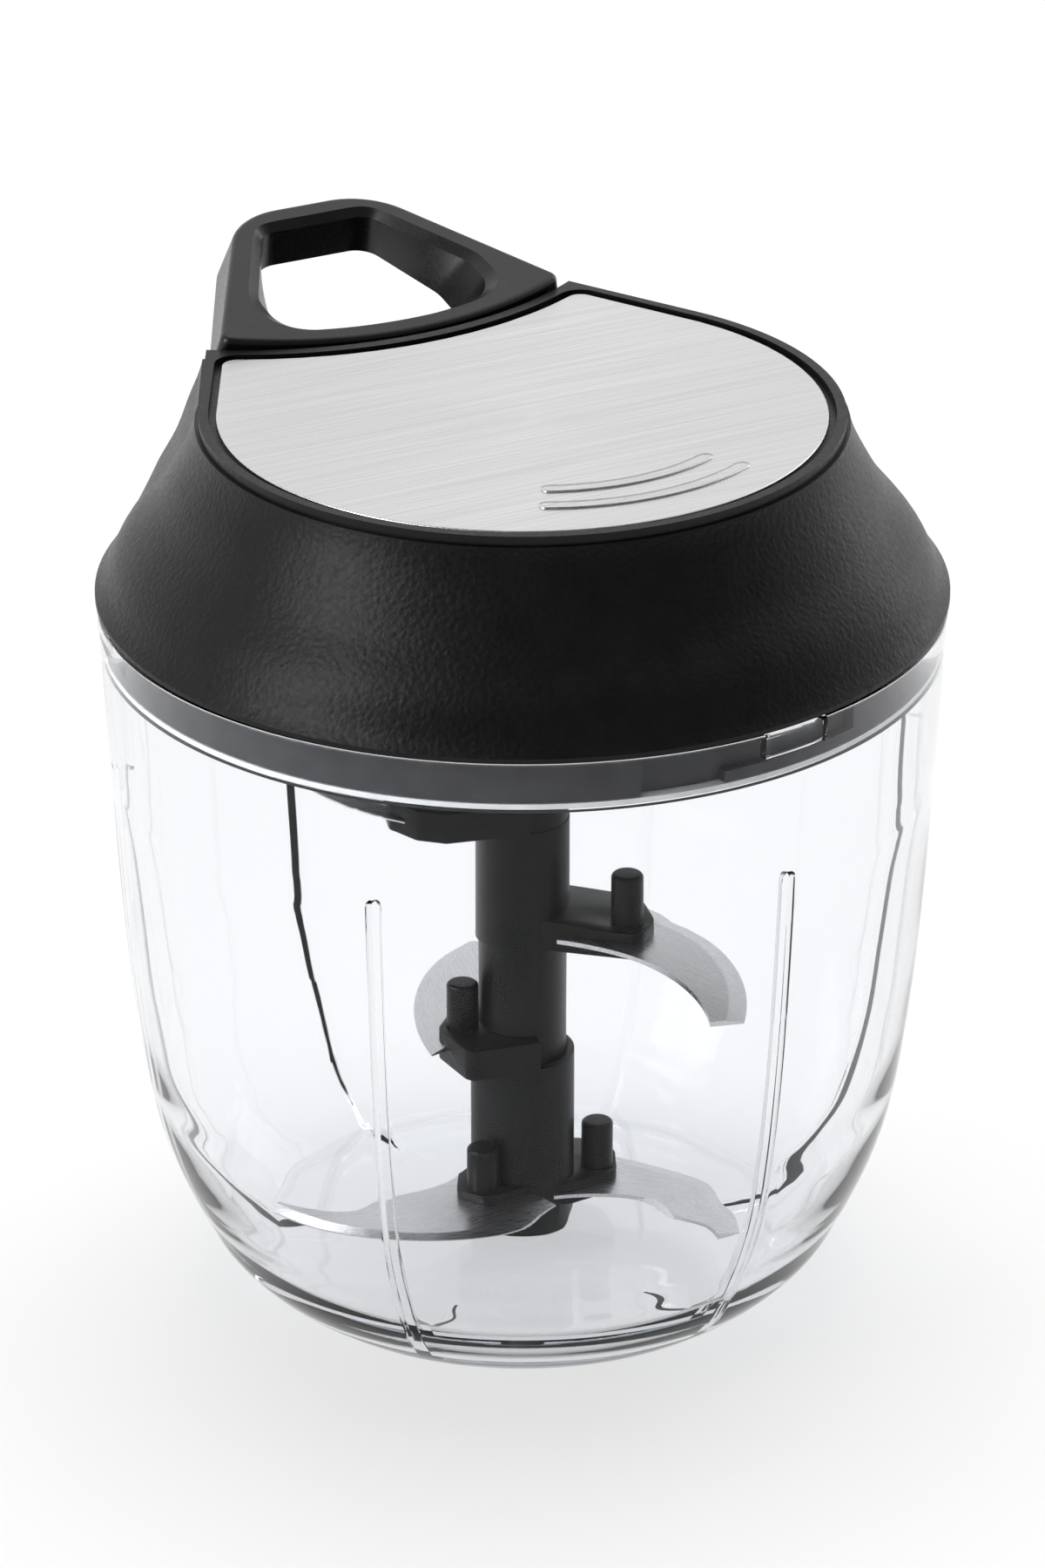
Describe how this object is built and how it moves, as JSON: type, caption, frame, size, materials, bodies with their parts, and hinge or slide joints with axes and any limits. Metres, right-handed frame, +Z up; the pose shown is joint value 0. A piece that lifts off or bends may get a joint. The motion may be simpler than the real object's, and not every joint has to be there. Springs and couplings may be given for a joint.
{
  "type": "pull cord food chopper",
  "caption": "Hand food chopper: clear bowl, black bell lid with a brushed steel plate and a pull handle on a cord that spins a post of curved blades.",
  "frame": {"origin": "centre of the bowl's flat underside", "axes": "+Z up along the axis of the bowl and blades, +Y the way the handle is pulled, +X to the right of that"},
  "size_m": [0.1272, 0.1399, 0.147],
  "materials": {
    "clear_plastic": "clear polished moulded plastic",
    "black_grained_plastic": "fine leather grain",
    "black_plastic": "satin",
    "dark_grey_plastic": "satin",
    "silicone": "soft, matt",
    "brushed_steel": "brushed across the handle's line",
    "blade_steel": "fine ground",
    "pin_steel": "polished",
    "spring_steel": "blued strip",
    "nickel": "plated",
    "white_plastic": "natural",
    "bush_plastic": "natural",
    "cord": "braided"
  },
  "bodies": {
    "bowl": {"bowl": "clear_plastic", "pivot_pin": "pin_steel"},
    "seal": {"lid_seal": "silicone"},
    "lid": {"lid_housing": "black_grained_plastic", "lid_base": "dark_grey_plastic", "steel_plate": "brushed_steel", "lid_screws": "pin_steel", "drive_bush": "bush_plastic", "cord_eyelet": "nickel", "reel_axle": "pin_steel", "axle_washer": "pin_steel", "recoil_spring": "spring_steel", "pull_cord": "cord"},
    "handle": {"handle": "black_plastic", "cord_knot": "cord"},
    "reel": {"reel": "white_plastic", "cord_winding": "cord", "spring_cover": "white_plastic"},
    "drive": {"drive_socket": "white_plastic", "drive_circlip": "pin_steel", "pawl_rotor": "white_plastic"},
    "blade_set": {"lower_hub": "dark_grey_plastic", "hub_bush": "bush_plastic", "upper_shaft": "dark_grey_plastic", "front_blade": "blade_steel", "side_blade": "blade_steel", "rear_blade": "blade_steel", "middle_blade": "blade_steel", "top_blade": "blade_steel", "lower_blade_pins": "dark_grey_plastic", "upper_blade_pins": "dark_grey_plastic"}
  },
  "joints": [
    {"name": "lid_lift", "type": "slide", "parent": "bowl", "child": "seal", "axis": [0, 0, 1], "range_m": [0, 0.12]},
    {"name": "lid_twist", "type": "hinge", "parent": "seal", "child": "lid", "pos_m": [0, 0, 0.106], "axis": [0, 0, 1], "range_deg": [0, 17.4]},
    {"name": "handle_pull", "type": "slide", "parent": "lid", "child": "handle", "axis": [0, 1, 0], "range_m": [0, 0.4], "stiffness_N_per_m": 12, "springref_m": -0.25, "deforming": ["pull_cord"]},
    {"name": "reel_spin", "type": "hinge", "parent": "lid", "child": "reel", "pos_m": [0, 0, 0.122], "axis": [0, 0, 1], "range_deg": [0, 1146]},
    {"name": "drive_spin", "type": "hinge", "parent": "lid", "child": "drive", "pos_m": [0, 0, 0.1], "axis": [0, 0, 1], "range_deg": [0, 1146]},
    {"name": "blade_spin", "type": "hinge", "parent": "bowl", "child": "blade_set", "pos_m": [0, 0, 0.0053], "axis": [0, 0, 1], "range_deg": [0, 1146]}
  ],
  "couplings": [
    {"joint": "reel_spin", "follows": "handle_pull", "rad_per_m": 50},
    {"joint": "drive_spin", "follows": "handle_pull", "rad_per_m": 50},
    {"joint": "blade_spin", "follows": "handle_pull", "rad_per_m": 50}
  ]
}
